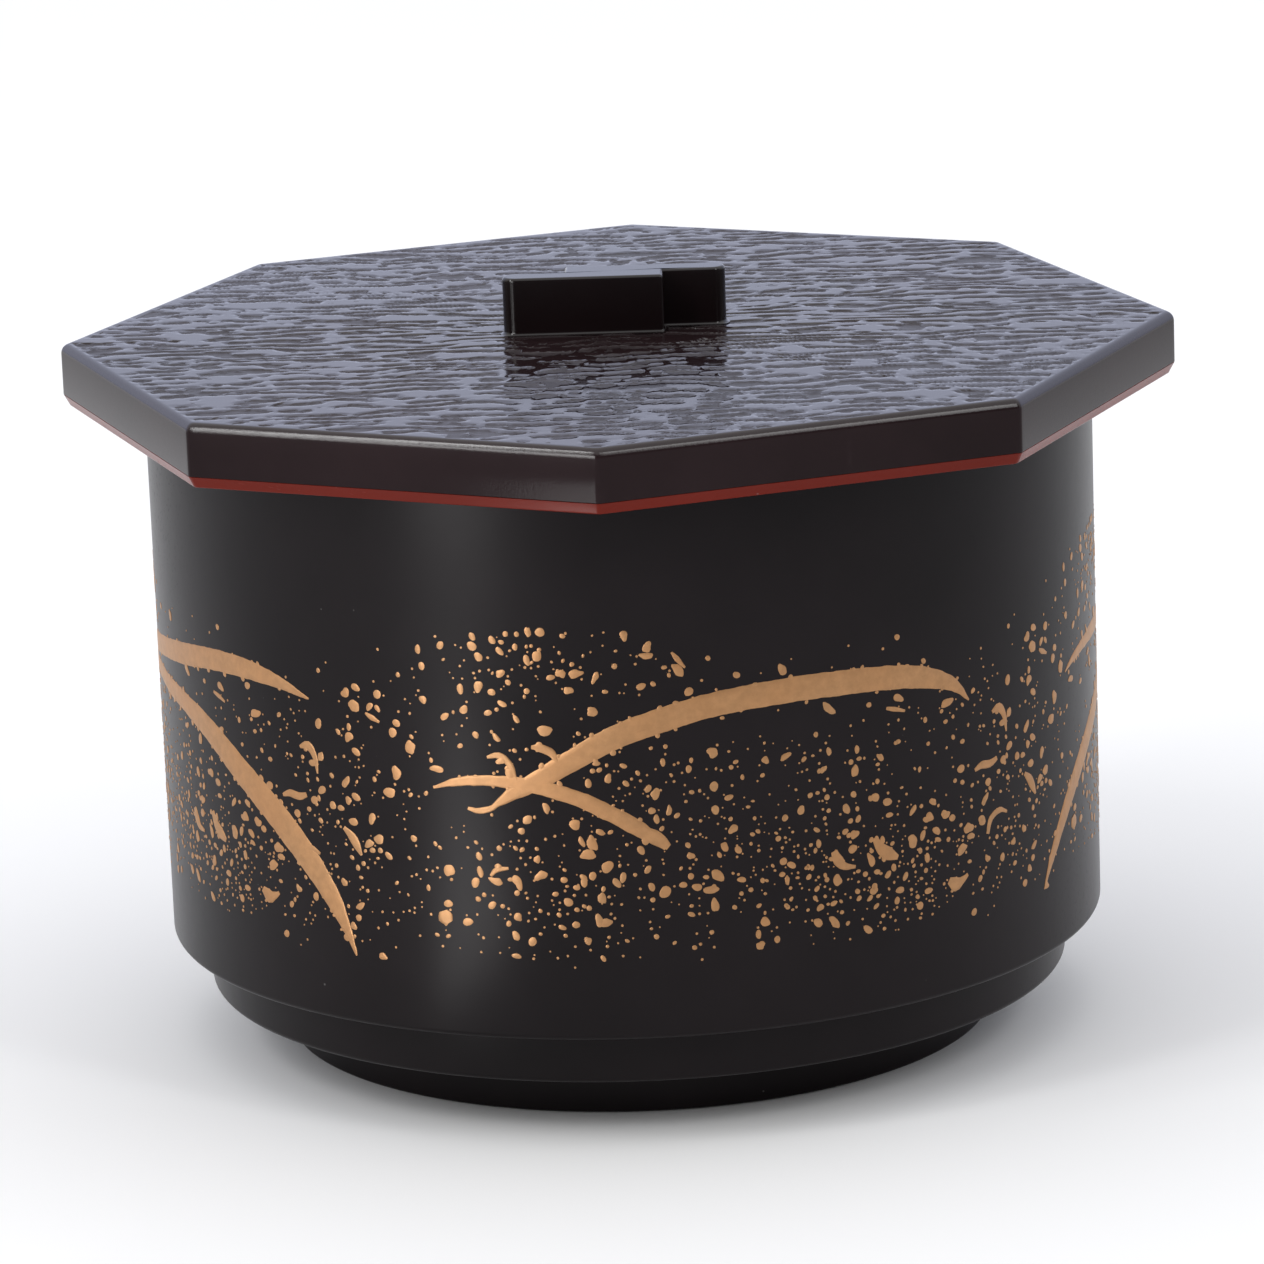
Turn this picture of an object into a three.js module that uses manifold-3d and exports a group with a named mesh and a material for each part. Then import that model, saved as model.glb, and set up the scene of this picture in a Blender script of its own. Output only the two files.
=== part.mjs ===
// Covered rice bowl: a round bowl on a stepped foot, closed by an octagonal lid that lifts off.
//
// Units are millimetres and +Z is up. The origin is the centre of the circle the foot stands on,
// and one corner of the octagon points along -Y. The bowl is a single shell. The lid is glued up
// from three pieces: a dark cap with a flat top, a liner whose lower edge shows under the cap as
// a thin band, and a knob that is pegged into the cap.

import * as THREE from 'three';
import { mergeVertices } from 'three/addons/utils/BufferGeometryUtils.js';
import Module from 'manifold-3d';

const wasm = await Module();
wasm.setup();

// ---- Driving dimensions -------------------------------------------------------------------

const GAP = 0.3; // left between pieces that touch

// Bowl: three stacked cylinders outside, one smooth hollow inside.
const BOWL_HEIGHT = 98.5;
const BOWL_RADIUS_TOP = 69.65;
const BOWL_RADIUS_LOW = 69.4;
const BOWL_WALL = 3.0;
const BAND_RADIUS = 63.95;
const BAND_TOP_Z = 16.0;
const FOOT_RADIUS = 52.65;
const FOOT_HEIGHT = 8.0;
const FOOT_WALL = 3.6;
const STEP_ROUNDING = 0.9;
const FOOT_ROUNDING = 0.5;
const FLOOR_Z = 14.6;
const FLOOR_THICKNESS = 3.1;
const HOLLOW_CORNER = 12.0; // inside corner between floor and wall
const RECESS_CORNER = 2.0; // inside corner of the hollow under the foot

// Lid: corner sizes are radii from the axis to a corner of the octagon.
const LID_CORNER = 82.0;
const LID_HEIGHT = 9.3; // from the lower edge of the band to the flat top
const CAP_PLATE = 3.0;
const CAP_SKIRT_WALL = 2.2;
const CAP_ROUNDING = 1.4;
const BAND_HEIGHT = 1.7;
const BAND_INSET = 0.8; // how far the band's lower edge stands inside its upper edge
const LINER_CEILING = 1.8;
const LINER_WALL = 1.6;
const RING_CLEARANCE = 0.8; // between the locating ring and the inside of the mouth
const RING_WALL = 1.6;
const RING_DROP = 5.0;

// Knob: two bars side by side, each slid along past the other.
const KNOB_HEIGHT = 8.5;
const KNOB_HALF_LENGTH = 16.3;
const BAR_OVERLAP = 7.3; // how far each bar runs past the middle
const BAR_DEPTH = 4.3;
const BAR_OUTER_ROUNDING = 2.1;
const BAR_INNER_ROUNDING = 0.5;
const PEG_RADIUS = 1.5;
const PEG_X = 5.0;

// Facets.
const ROUND_SEGMENTS = 72;
const PEG_SEGMENTS = 20;
const ARC_STEPS = 4;
const CORNERS = 8;

// ---- Worked out from the driving dimensions --------------------------------------------------

const EIGHTH = Math.cos(Math.PI / CORNERS); // distance to a flat over distance to a corner
const CAP_PLATE_UNDER = LID_HEIGHT - CAP_PLATE;
const CAP_INSIDE = LID_CORNER - CAP_SKIRT_WALL / EIGHTH;
const CEILING_TOP = CAP_PLATE_UNDER - GAP;
const CEILING_UNDER = CEILING_TOP - LINER_CEILING;
const LINER_OUTSIDE = CAP_INSIDE - GAP / EIGHTH;
const LINER_INSIDE = LINER_OUTSIDE - LINER_WALL / EIGHTH;
const RING_RADIUS = BOWL_RADIUS_TOP - BOWL_WALL - RING_CLEARANCE;
const LID_Z = BOWL_HEIGHT + GAP - CEILING_UNDER; // the liner's ceiling rests on the bowl's rim

// ---- Materials ------------------------------------------------------------------------------

const LACQUER_BLACK = { color: 0x211e1f, roughness: 0.32, metalness: 0.0 };
const LACQUER_GLOSS = { color: 0x2a2324, roughness: 0.18, metalness: 0.0 };
const LACQUER_VERMILION = { color: 0x9a2f22, roughness: 0.28, metalness: 0.0 };

// ---- Helpers --------------------------------------------------------------------------------

// Points of a circular arc in the profile plane, both ends included. Angles are in degrees.
function arc(centreR, centreZ, radius, fromDegrees, toDegrees, steps = ARC_STEPS) {
  const points = [];
  for (let i = 0; i <= steps; i += 1) {
    const angle = THREE.MathUtils.degToRad(fromDegrees + ((toDegrees - fromDegrees) * i) / steps);
    points.push([centreR + radius * Math.cos(angle), centreZ + radius * Math.sin(angle)]);
  }
  return points;
}

// Turns a profile of [radius, z] points round the Z axis. The profile runs anticlockwise, with
// the outer wall going up. With eight segments the result is an octagon with a corner along -Y.
function turned(profile, segments) {
  const points = profile.map(([radius, z]) => new THREE.Vector2(radius, z));
  const geometry = new THREE.LatheGeometry(points, segments);
  geometry.rotateX(Math.PI / 2);
  return geometry;
}

// A three.js geometry as a solid that can be cut and joined.
function solidFrom(geometry) {
  geometry.deleteAttribute('normal');
  geometry.deleteAttribute('uv');
  const merged = mergeVertices(geometry, 1e-4);
  const index = merged.index.array;
  const triangles = [];
  for (let i = 0; i < index.length; i += 3) {
    const [a, b, c] = [index[i], index[i + 1], index[i + 2]];
    if (a !== b && b !== c && c !== a) {
      triangles.push(a, b, c);
    }
  }
  return new wasm.Manifold(new wasm.Mesh({
    numProp: 3,
    vertProperties: new Float32Array(merged.attributes.position.array),
    triVerts: new Uint32Array(triangles),
  }));
}

// A cut or joined solid as a geometry again.
function geometryFrom(solid) {
  const mesh = solid.getMesh();
  const geometry = new THREE.BufferGeometry();
  geometry.setAttribute('position', new THREE.BufferAttribute(mesh.vertProperties, mesh.numProp));
  geometry.setIndex(new THREE.BufferAttribute(mesh.triVerts, 1));
  geometry.computeVertexNormals();
  return geometry;
}

// An upright round pin between two heights.
function pin(x, y, radius, fromZ, toZ) {
  const geometry = new THREE.CylinderGeometry(radius, radius, toZ - fromZ, PEG_SEGMENTS);
  geometry.rotateX(Math.PI / 2);
  geometry.translate(x, y, (fromZ + toZ) / 2);
  return solidFrom(geometry);
}

function piece(name, geometry, finish) {
  const mesh = new THREE.Mesh(geometry, new THREE.MeshStandardMaterial(finish));
  mesh.name = name;
  return mesh;
}

// The middle of each knob bar, where its peg stands.
const PEG_PLACES = [
  [-PEG_X, -BAR_DEPTH / 2],
  [PEG_X, BAR_DEPTH / 2],
];

// ---- Bowl -----------------------------------------------------------------------------------

function bowlBody() {
  const footInside = FOOT_RADIUS - FOOT_WALL;
  const recessTop = FLOOR_Z - FLOOR_THICKNESS;
  const hollowTop = BOWL_RADIUS_TOP - BOWL_WALL;
  const hollowLow = BOWL_RADIUS_LOW - BOWL_WALL;
  const lip = BOWL_WALL / 2;
  const profile = [
    [0, recessTop],
    ...arc(footInside - RECESS_CORNER, recessTop - RECESS_CORNER, RECESS_CORNER, 90, 0),
    ...arc(footInside + FOOT_ROUNDING, FOOT_ROUNDING, FOOT_ROUNDING, 180, 270, 2),
    ...arc(FOOT_RADIUS - FOOT_ROUNDING, FOOT_ROUNDING, FOOT_ROUNDING, 270, 360, 2),
    [FOOT_RADIUS, FOOT_HEIGHT],
    ...arc(BAND_RADIUS - STEP_ROUNDING, FOOT_HEIGHT + STEP_ROUNDING, STEP_ROUNDING, 270, 360, 3),
    [BAND_RADIUS, BAND_TOP_Z],
    ...arc(BOWL_RADIUS_LOW - STEP_ROUNDING, BAND_TOP_Z + STEP_ROUNDING, STEP_ROUNDING, 270, 360, 3),
    ...arc(BOWL_RADIUS_TOP - lip, BOWL_HEIGHT - lip, lip, 0, 180, 6),
    [hollowTop, BOWL_HEIGHT - lip],
    ...arc(hollowLow - HOLLOW_CORNER, FLOOR_Z + HOLLOW_CORNER, HOLLOW_CORNER, 360, 270, 8),
    [0, FLOOR_Z],
  ];
  return turned(profile, ROUND_SEGMENTS);
}

// ---- Lid ------------------------------------------------------------------------------------

function lidCap() {
  const profile = [
    [0, CAP_PLATE_UNDER],
    [CAP_INSIDE, CAP_PLATE_UNDER],
    [CAP_INSIDE, BAND_HEIGHT],
    [LID_CORNER, BAND_HEIGHT],
    ...arc(LID_CORNER - CAP_ROUNDING, LID_HEIGHT - CAP_ROUNDING, CAP_ROUNDING, 0, 90),
    [0, LID_HEIGHT],
  ];
  let cap = solidFrom(turned(profile, CORNERS));
  for (const [x, y] of PEG_PLACES) {
    cap = cap.subtract(pin(x, y, PEG_RADIUS + GAP, CAP_PLATE_UNDER - 1, LID_HEIGHT + 1));
  }
  return geometryFrom(cap);
}

function lidLiner() {
  const flangeTop = BAND_HEIGHT - GAP;
  const tray = [
    [0, CEILING_UNDER],
    [LINER_INSIDE, CEILING_UNDER],
    [LINER_INSIDE, 0],
    [LID_CORNER - BAND_INSET, 0],
    [LID_CORNER, flangeTop],
    [LINER_OUTSIDE, flangeTop],
    [LINER_OUTSIDE, CEILING_TOP],
    [0, CEILING_TOP],
  ];
  const ringInside = RING_RADIUS - RING_WALL;
  const ringBottom = CEILING_UNDER - RING_DROP;
  const ringRoot = CEILING_UNDER + LINER_CEILING / 2;
  const ring = [
    [ringInside, ringBottom],
    [RING_RADIUS, ringBottom],
    [RING_RADIUS, ringRoot],
    [ringInside, ringRoot],
    [ringInside, ringBottom],
  ];
  const joined = solidFrom(turned(tray, CORNERS)).add(solidFrom(turned(ring, ROUND_SEGMENTS)));
  return geometryFrom(joined);
}

// Seen from above, the knob is two bars that touch along the X axis: the -Y bar is slid towards
// -X and the +Y bar towards +X. Half a turn about Z brings the outline onto itself.
function knobOutline() {
  const outer = BAR_OUTER_ROUNDING;
  const inner = BAR_INNER_ROUNDING;
  const shape = new THREE.Shape();
  for (const turn of [0, Math.PI]) {
    const side = turn === 0 ? 1 : -1;
    const quarter = Math.PI / 2;
    const endX = -side * (KNOB_HALF_LENGTH - outer);
    const nearX = side * (BAR_OVERLAP - inner);
    const outerY = -side * (BAR_DEPTH - outer);
    if (turn === 0) {
      shape.moveTo(-KNOB_HALF_LENGTH, outerY);
    }
    shape.absarc(endX, outerY, outer, turn + 2 * quarter, turn + 3 * quarter, false);
    shape.absarc(nearX, -side * (BAR_DEPTH - inner), inner, turn + 3 * quarter, turn + 4 * quarter, false);
    shape.lineTo(side * BAR_OVERLAP, 0);
    shape.absarc(-endX, side * outer, outer, turn - quarter, turn, false);
  }
  shape.closePath();
  return shape;
}

function lidKnob() {
  const base = LID_HEIGHT + GAP;
  const bars = new THREE.ExtrudeGeometry(knobOutline(), {
    depth: KNOB_HEIGHT - GAP,
    bevelEnabled: false,
    curveSegments: ARC_STEPS,
  });
  bars.translate(0, 0, base);
  let knob = solidFrom(bars);
  for (const [x, y] of PEG_PLACES) {
    knob = knob.add(pin(x, y, PEG_RADIUS, CAP_PLATE_UNDER + GAP, base + 1));
  }
  return geometryFrom(knob);
}

// ---- Assembly -------------------------------------------------------------------------------

const lid = new THREE.Group();
lid.position.z = LID_Z;
lid.add(
  piece('lid_cap', lidCap(), LACQUER_GLOSS),
  piece('lid_liner', lidLiner(), LACQUER_VERMILION),
  piece('lid_knob', lidKnob(), LACQUER_GLOSS),
);

const riceBowl = new THREE.Group();
riceBowl.add(piece('bowl_body', bowlBody(), LACQUER_BLACK), lid);

export default riceBowl;
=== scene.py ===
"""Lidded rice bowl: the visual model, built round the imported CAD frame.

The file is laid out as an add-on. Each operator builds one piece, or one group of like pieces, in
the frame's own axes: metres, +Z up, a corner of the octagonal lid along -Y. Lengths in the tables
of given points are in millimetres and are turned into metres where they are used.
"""

import math

import bpy
import numpy as np
from mathutils import Matrix, Vector


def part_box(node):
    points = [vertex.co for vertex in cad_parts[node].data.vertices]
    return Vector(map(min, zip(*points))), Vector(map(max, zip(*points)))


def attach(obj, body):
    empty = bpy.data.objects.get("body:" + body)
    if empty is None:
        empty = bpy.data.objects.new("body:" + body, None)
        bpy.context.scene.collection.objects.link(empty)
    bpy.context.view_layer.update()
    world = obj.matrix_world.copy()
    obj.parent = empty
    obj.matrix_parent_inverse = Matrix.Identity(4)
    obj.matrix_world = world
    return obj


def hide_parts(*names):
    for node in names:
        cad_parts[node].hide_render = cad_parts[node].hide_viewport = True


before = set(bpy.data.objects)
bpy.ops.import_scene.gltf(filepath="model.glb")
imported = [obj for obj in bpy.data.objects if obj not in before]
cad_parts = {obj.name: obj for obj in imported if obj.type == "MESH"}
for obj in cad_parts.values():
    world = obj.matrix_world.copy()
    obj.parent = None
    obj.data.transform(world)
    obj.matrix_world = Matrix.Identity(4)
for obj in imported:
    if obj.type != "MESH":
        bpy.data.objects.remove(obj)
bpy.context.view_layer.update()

bl_info = {
    "name": "Lidded rice bowl",
    "version": (1, 0, 0),
    "blender": (4, 5, 0),
    "location": "3D View > Sidebar > Rice Bowl",
    "description": "Builds a lacquer-finish rice bowl with a grained octagonal lid",
    "category": "Add Mesh",
}

MM = 0.001
CORNERS = 8
EIGHTH = math.cos(math.pi / CORNERS)

# ---- Places read from the frame --------------------------------------------------------------

BOWL_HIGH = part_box("bowl_body")[1]
CAP_LOW, CAP_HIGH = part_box("lid_cap")
LINER_LOW, LINER_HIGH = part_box("lid_liner")
KNOB_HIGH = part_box("lid_knob")[1]

# ---- Gold decoration: blades and splashes, listed point by point ------------------------------
# Each blade is a list of (angle round the wall in degrees, height in mm, width in mm). Angle 0
# faces -Y and grows towards +X.

FRONT_BLADES = {
    "main": [
        (-14.2, 50.0, 0.5), (-11.8, 52.0, 1.9), (-8.5, 54.2, 2.7), (-4.5, 57.0, 3.1),
        (0.5, 60.2, 3.4), (6.0, 62.4, 3.5), (12.0, 64.1, 3.5), (20.0, 65.0, 3.6),
        (28.0, 65.0, 3.6), (35.0, 64.4, 3.4), (40.0, 63.1, 2.9), (43.5, 61.3, 1.8),
        (45.8, 58.6, 0.25),
    ],
    "short": [
        (-21.4, 52.4, 0.4), (-18.0, 53.5, 1.3), (-14.0, 53.8, 1.6), (-9.5, 53.2, 2.0),
        (-4.5, 51.6, 2.2), (-0.5, 49.2, 2.3), (3.0, 46.6, 2.2), (5.8, 43.9, 0.8),
    ],
}
LEFT_BLADES = {
    "long_left": [
        (-103.0, 54.8, 0.5), (-96.0, 56.8, 1.7), (-88.0, 57.9, 2.2), (-80.0, 57.9, 2.4),
        (-72.0, 57.1, 2.8), (-65.0, 56.2, 3.2), (-58.0, 53.9, 3.9), (-51.0, 49.5, 4.4),
        (-45.0, 44.9, 4.6), (-40.0, 39.7, 4.2), (-36.4, 34.6, 3.2), (-34.2, 30.0, 1.7),
        (-32.9, 26.2, 0.25),
    ],
    "upper_left": [
        (-106.0, 52.6, 0.5), (-99.0, 55.8, 2.2), (-91.0, 58.9, 2.8), (-82.0, 61.0, 3.0),
        (-73.0, 62.5, 3.1), (-64.0, 63.9, 3.3), (-56.0, 65.1, 3.2), (-49.0, 65.3, 2.9),
        (-43.0, 64.5, 1.9), (-38.3, 63.0, 0.25),
    ],
}
RIGHT_BLADES = {
    "long_right": [
        (60.2, 26.3, 0.25), (62.3, 30.2, 1.5), (65.5, 34.8, 2.5), (69.5, 39.2, 3.1),
        (74.5, 43.2, 3.5), (80.5, 46.8, 3.7), (88.0, 50.3, 3.6), (96.0, 53.2, 3.0),
        (104.0, 55.4, 1.9), (111.0, 56.6, 0.4),
    ],
    "upper_right": [
        (67.2, 56.7, 0.25), (70.5, 58.0, 1.2), (75.5, 58.9, 1.9), (82.0, 59.3, 2.5),
        (90.0, 58.8, 2.8), (98.0, 57.0, 2.5), (105.0, 54.4, 1.5), (109.0, 52.2, 0.4),
    ],
}

# Small hooked splashes beside the crossing blades.
CROSSING_HOOKS = {
    "hook": [(-14.6, 57.2, 0.4), (-13.2, 57.5, 1.0), (-12.0, 56.4, 0.9), (-11.2, 54.0, 0.4)],
    "comma": [(-9.3, 58.8, 0.5), (-8.2, 58.7, 1.2), (-6.9, 57.9, 1.1), (-6.4, 56.6, 0.6)],
    "end": [(3.4, 46.6, 1.4), (4.8, 45.3, 2.0), (6.1, 44.0, 1.0)],
    "tail": [(-17.2, 49.7, 0.4), (-15.8, 49.4, 0.9), (-14.2, 49.9, 0.8), (-12.9, 51.4, 0.6)],
}

# The splashes are one printed sheet laid four times round the wall, so everything about them
# repeats every quarter turn. Where they gather: (angle, height, spread in degrees, spread in
# mm, weight).
SPLASH_REPEAT = 90.0
SPLASH_PATCHES = [
    (-26, 36, 4, 5, 0.35), (-27, 50, 4, 7, 0.60), (-26, 66, 4, 2.5, 0.30), (-17, 36, 6, 6, 0.75),
    (-17, 64, 5, 5, 0.60), (-10, 70, 6, 3.2, 1.15), (-2, 71, 4, 3, 0.75), (6, 69, 4, 3.5, 0.50),
    (-8, 44, 6, 5, 0.75), (-3, 57, 5, 3, 0.60), (0, 35, 8, 5, 1.05), (5, 52, 6, 4, 1.00),
    (8, 43, 6, 4, 0.75), (17, 55, 6, 4, 0.60), (20, 39, 6, 5, 1.55), (30, 38, 7, 5, 1.75),
    (28, 51, 8, 5, 0.55), (38, 33, 6, 4, 1.35), (42, 46, 6, 5, 0.60), (41, 57, 6, 4, 0.50),
    (52, 37, 6, 6, 1.00), (53, 50, 5, 6, 0.75), (52, 61, 5, 3, 0.55), (24, 67.3, 12, 1.1, 0.30),
]
SPLASH_SLIVERS = [
    [(49.9, 55.7, 0.5), (51.2, 56.1, 1.3), (52.2, 54.6, 1.0), (52.5, 52.2, 0.3)],
    [(46.6, 48.0, 0.5), (47.8, 48.5, 1.1), (49.3, 48.3, 1.2), (50.6, 48.8, 0.7)],
    [(56.1, 44.9, 0.5), (57.2, 43.8, 1.4), (57.9, 42.5, 1.3), (58.5, 41.2, 0.4)],
    [(48.6, 38.1, 0.6), (49.3, 40.2, 0.9), (50.9, 41.0, 0.9), (52.3, 40.4, 0.4)],
    [(7.2, 72.0, 0.3), (7.8, 71.0, 0.7), (8.7, 69.7, 0.3)],
    [(-30.0, 62.2, 0.3), (-29.2, 61.7, 0.8), (-28.1, 61.1, 0.4)],
    [(33.3, 60.2, 0.4), (34.4, 59.9, 0.7), (35.9, 59.3, 0.3)],
    [(31.2, 41.8, 0.7), (32.0, 40.2, 1.6), (33.2, 39.0, 1.9), (34.4, 38.3, 0.7)],
    [(25.9, 40.9, 0.9), (26.4, 39.4, 1.6), (27.2, 38.4, 1.1), (28.6, 38.1, 0.5)],
    [(41.9, 33.0, 0.9), (43.0, 32.2, 2.2), (43.9, 32.4, 1.3), (45.0, 33.1, 0.5)],
    [(-20.9, 34.4, 1.2), (-20.6, 33.5, 2.4), (-20.2, 32.7, 1.3)],
    [(-14.8, 40.0, 0.4), (-14.0, 40.9, 0.8), (-12.6, 41.2, 0.4)],
]


# ---- What a user can change ------------------------------------------------------------------

def length(name, description, default):
    """A length property in metres."""
    return bpy.props.FloatProperty(
        name=name, description=description, default=default, min=0.0, precision=5, unit="LENGTH")


def colour(name, description, default):
    """A linear colour property."""
    return bpy.props.FloatVectorProperty(
        name=name, description=description, default=default, size=3, min=0.0, max=1.0,
        subtype="COLOR")


class RiceBowlSizes(bpy.types.PropertyGroup):
    """Sizes of the bowl, in metres."""

    top_radius: length("Top radius", "Outside radius at the rim", BOWL_HIGH.x)
    low_radius: length("Low radius", "Outside radius just above the band", BOWL_HIGH.x - 0.25 * MM)
    height: length("Height", "From the foot to the rim", BOWL_HIGH.z)
    wall: length("Wall", "Wall thickness", 3.0 * MM)
    band_radius: length("Band radius", "Radius of the band below the wall", 63.95 * MM)
    band_top: length("Band top", "Height of the step above the band", 16.0 * MM)
    foot_radius: length("Foot radius", "Outside radius of the foot", 52.65 * MM)
    foot_height: length("Foot height", "Height of the foot", 8.0 * MM)
    foot_wall: length("Foot wall", "Thickness of the foot ring", 3.6 * MM)
    floor: length("Floor", "Height of the inside floor", 14.6 * MM)
    floor_thickness: length("Floor thickness", "Thickness of the floor", 3.1 * MM)
    hollow_corner: length("Hollow corner", "Inside corner between floor and wall", 12.0 * MM)
    recess_corner: length("Recess corner", "Corner of the hollow under the foot", 2.0 * MM)
    step_rounding: length("Step rounding", "Rounding of the outer step edges", 0.9 * MM)


class RiceBowlLidSizes(bpy.types.PropertyGroup):
    """Sizes of the lid, in metres."""

    corner: length("Corner radius", "From the axis to a corner of the octagon", CAP_HIGH.x)
    corner_rounding: length("Corner rounding", "Rounding of the upright corners", 1.1 * MM)
    edge_rounding: length("Edge rounding", "Rounding of the top edge", 1.4 * MM)
    skirt_wall: length("Skirt wall", "Thickness of the skirt", 2.2 * MM)
    plate: length("Plate", "Thickness of the flat top", 3.0 * MM)
    band_height: length("Band height", "Height of the coloured band", 1.7 * MM)
    band_inset: length("Band inset", "How far the band tapers in", 0.8 * MM)
    grain_depth: length("Grain depth", "Depth of the pressed grain", 0.2 * MM)
    ring_radius: length("Ring radius", "Outside radius of the locating ring", 65.85 * MM)
    ring_wall: length("Ring wall", "Thickness of the locating ring", 1.6 * MM)
    liner_wall: length("Liner wall", "Thickness of the liner's upright wall", 1.6 * MM)
    ceiling: length("Ceiling", "Thickness of the liner's flat ceiling", 1.8 * MM)
    liner_gap: length("Liner gap", "Gap between the skirt and the liner", 0.3 * MM)
    knob_overlap: length("Knob overlap", "How far each bar runs past the middle", 7.3 * MM)
    knob_edge: length("Knob edge", "Rounding of the knob's top edges", 0.5 * MM)


class RiceBowlColours(bpy.types.PropertyGroup):
    """Base colours of the finishes, linear."""

    black: colour("Black lacquer", "Wall and foot", (0.0090, 0.0066, 0.0074))
    lid: colour("Lid lacquer", "Cap and knob", (0.0165, 0.0092, 0.0102))
    vermilion: colour("Vermilion lacquer", "Band, lid liner and inside", (0.140, 0.0120, 0.0056))
    gold: colour("Gold", "Blades and splashes", (0.40, 0.211, 0.090))
    floor: colour("Floor", "Studio floor", (0.96, 0.96, 0.96))


class RiceBowlStage(bpy.types.PropertyGroup):
    """Camera and light."""

    distance: length("Distance", "Camera to the point it turns about", 1.018)
    elevation: bpy.props.FloatProperty(
        name="Elevation", description="Camera height angle", default=math.radians(14.12),
        subtype="ANGLE")
    azimuth: bpy.props.FloatProperty(
        name="Azimuth", description="Camera angle round the bowl", default=math.radians(2.2),
        subtype="ANGLE")
    roll: bpy.props.FloatProperty(
        name="Roll", description="Tilt of the camera", default=math.radians(-2.15),
        subtype="ANGLE")
    lens: bpy.props.FloatProperty(
        name="Lens", description="Focal length in millimetres on a 36 mm frame", default=195.05)
    aim_height: length("Aim height", "Height of the point the camera turns about", 57.65 * MM)
    aim_side: length("Aim side", "Sideways place of that point", 0.73 * MM)


# ---- Meshes ----------------------------------------------------------------------------------

def finished_mesh(name, vertices, faces, materials, face_materials=None, crease=35.0):
    """An object from vertices and faces, smooth-shaded with edges sharper than crease kept."""
    mesh = bpy.data.meshes.new(name)
    mesh.from_pydata(vertices, [], faces)
    for material in materials:
        mesh.materials.append(material)
    if face_materials is not None:
        mesh.polygons.foreach_set("material_index", np.asarray(face_materials, np.int32))
    mesh.shade_smooth()
    mesh.set_sharp_from_angle(angle=math.radians(crease))
    mesh.validate()
    piece = bpy.data.objects.new(name, mesh)
    bpy.context.scene.collection.objects.link(piece)
    return piece


def loft(name, loops, materials, band_materials=None, crease=35.0, grain=None):
    """A closed skin through loops of equal length, with a fan of faces over the first and last.

    Each loop runs anticlockwise seen from above, and the loops follow a profile that runs
    outwards underneath, up the outside and inwards on top. The last loops can carry grain: one
    list of values per loop, kept on the points for the material to read.
    """
    loops = np.asarray(loops, float)
    count, around = loops.shape[:2]
    here = np.arange(around)
    following = (here + 1) % around
    faces = []
    face_materials = []
    bands = band_materials or [0] * (count + 1)
    start, end = count * around, count * around + 1
    faces += np.stack([np.full(around, start), following, here], 1).tolist()
    face_materials += [bands[0]] * around
    for k in range(count - 1):
        low, high = k * around, (k + 1) * around
        faces += np.stack([low + here, low + following, high + following, high + here], 1).tolist()
        face_materials += [bands[k + 1]] * around
    last = (count - 1) * around
    faces += np.stack([np.full(around, end), last + here, last + following], 1).tolist()
    face_materials += [bands[count]] * around
    centres = np.stack([loops[0].mean(0), loops[-1].mean(0)])
    vertices = np.concatenate([loops.reshape(-1, 3), centres]).tolist()
    piece = finished_mesh(name, vertices, faces, materials, face_materials, crease)
    if grain is not None:
        values = np.zeros((count, around), np.float32)
        values[-len(grain):] = grain
        layer = piece.data.attributes.new("grain", "FLOAT", "POINT")
        layer.data.foreach_set("value", np.append(values.ravel(), (0.0, values[-1].mean())))
    return piece


def arc(centre_r, centre_z, radius, start, stop, steps):
    """Points of an arc in the profile plane. Angles are in degrees and both ends are included."""
    angles = np.radians(np.linspace(start, stop, steps + 1))
    return [(centre_r + radius * math.cos(a), centre_z + radius * math.sin(a)) for a in angles]


def circle_loop(radius, z, angles):
    """A round loop at the given angles."""
    return np.stack([radius * np.cos(angles), radius * np.sin(angles), np.full(len(angles), z)], 1)


def octagon_outline(corner, rounding, along_flat, round_corner):
    """A regular octagon with rounded corners and one corner along -Y, as an (n, 2) array."""
    points = []
    turn = 2 * math.pi / CORNERS
    for k in range(CORNERS):
        towards = -math.pi / 2 + k * turn
        reach = corner - rounding / EIGHTH
        centre = reach * np.array([math.cos(towards), math.sin(towards)])
        for a in np.linspace(towards - turn / 2, towards + turn / 2, round_corner + 1):
            points.append(centre + rounding * np.array([math.cos(a), math.sin(a)]))
        onward = towards + turn
        next_centre = reach * np.array([math.cos(onward), math.sin(onward)])
        heading = towards + turn / 2
        begin = points[-1]
        finish = next_centre + rounding * np.array([math.cos(heading), math.sin(heading)])
        for t in np.linspace(0, 1, along_flat + 2)[1:-1]:
            points.append(begin + (finish - begin) * t)
    return np.array(points)


def at_height(outline, z):
    """A flat outline lifted to a height."""
    return np.concatenate([outline, np.full((len(outline), 1), z)], 1)


def offset_outline(outline, distance):
    """The outline moved outwards by a distance, with mitred corners."""
    ahead = np.roll(outline, -1, 0) - outline
    ahead /= np.linalg.norm(ahead, axis=1, keepdims=True)
    normal_after = np.stack([ahead[:, 1], -ahead[:, 0]], 1)
    normal_before = np.roll(normal_after, 1, 0)
    together = 1 + (normal_after * normal_before).sum(1, keepdims=True)
    return outline + distance * (normal_after + normal_before) / together


def lattice_noise(x, y, seed):
    """Smooth seeded noise from 0 to 1 with features about one unit across."""
    table = np.random.default_rng(seed).random((256, 256))
    column, row = np.floor(x).astype(int), np.floor(y).astype(int)
    u, v = x - column, y - row
    u, v = u * u * (3 - 2 * u), v * v * (3 - 2 * v)
    a = table[row % 256, column % 256]
    b = table[row % 256, (column + 1) % 256]
    c = table[(row + 1) % 256, column % 256]
    d = table[(row + 1) % 256, (column + 1) % 256]
    return (a * (1 - u) + b * u) * (1 - v) + (c * (1 - u) + d * u) * v


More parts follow.
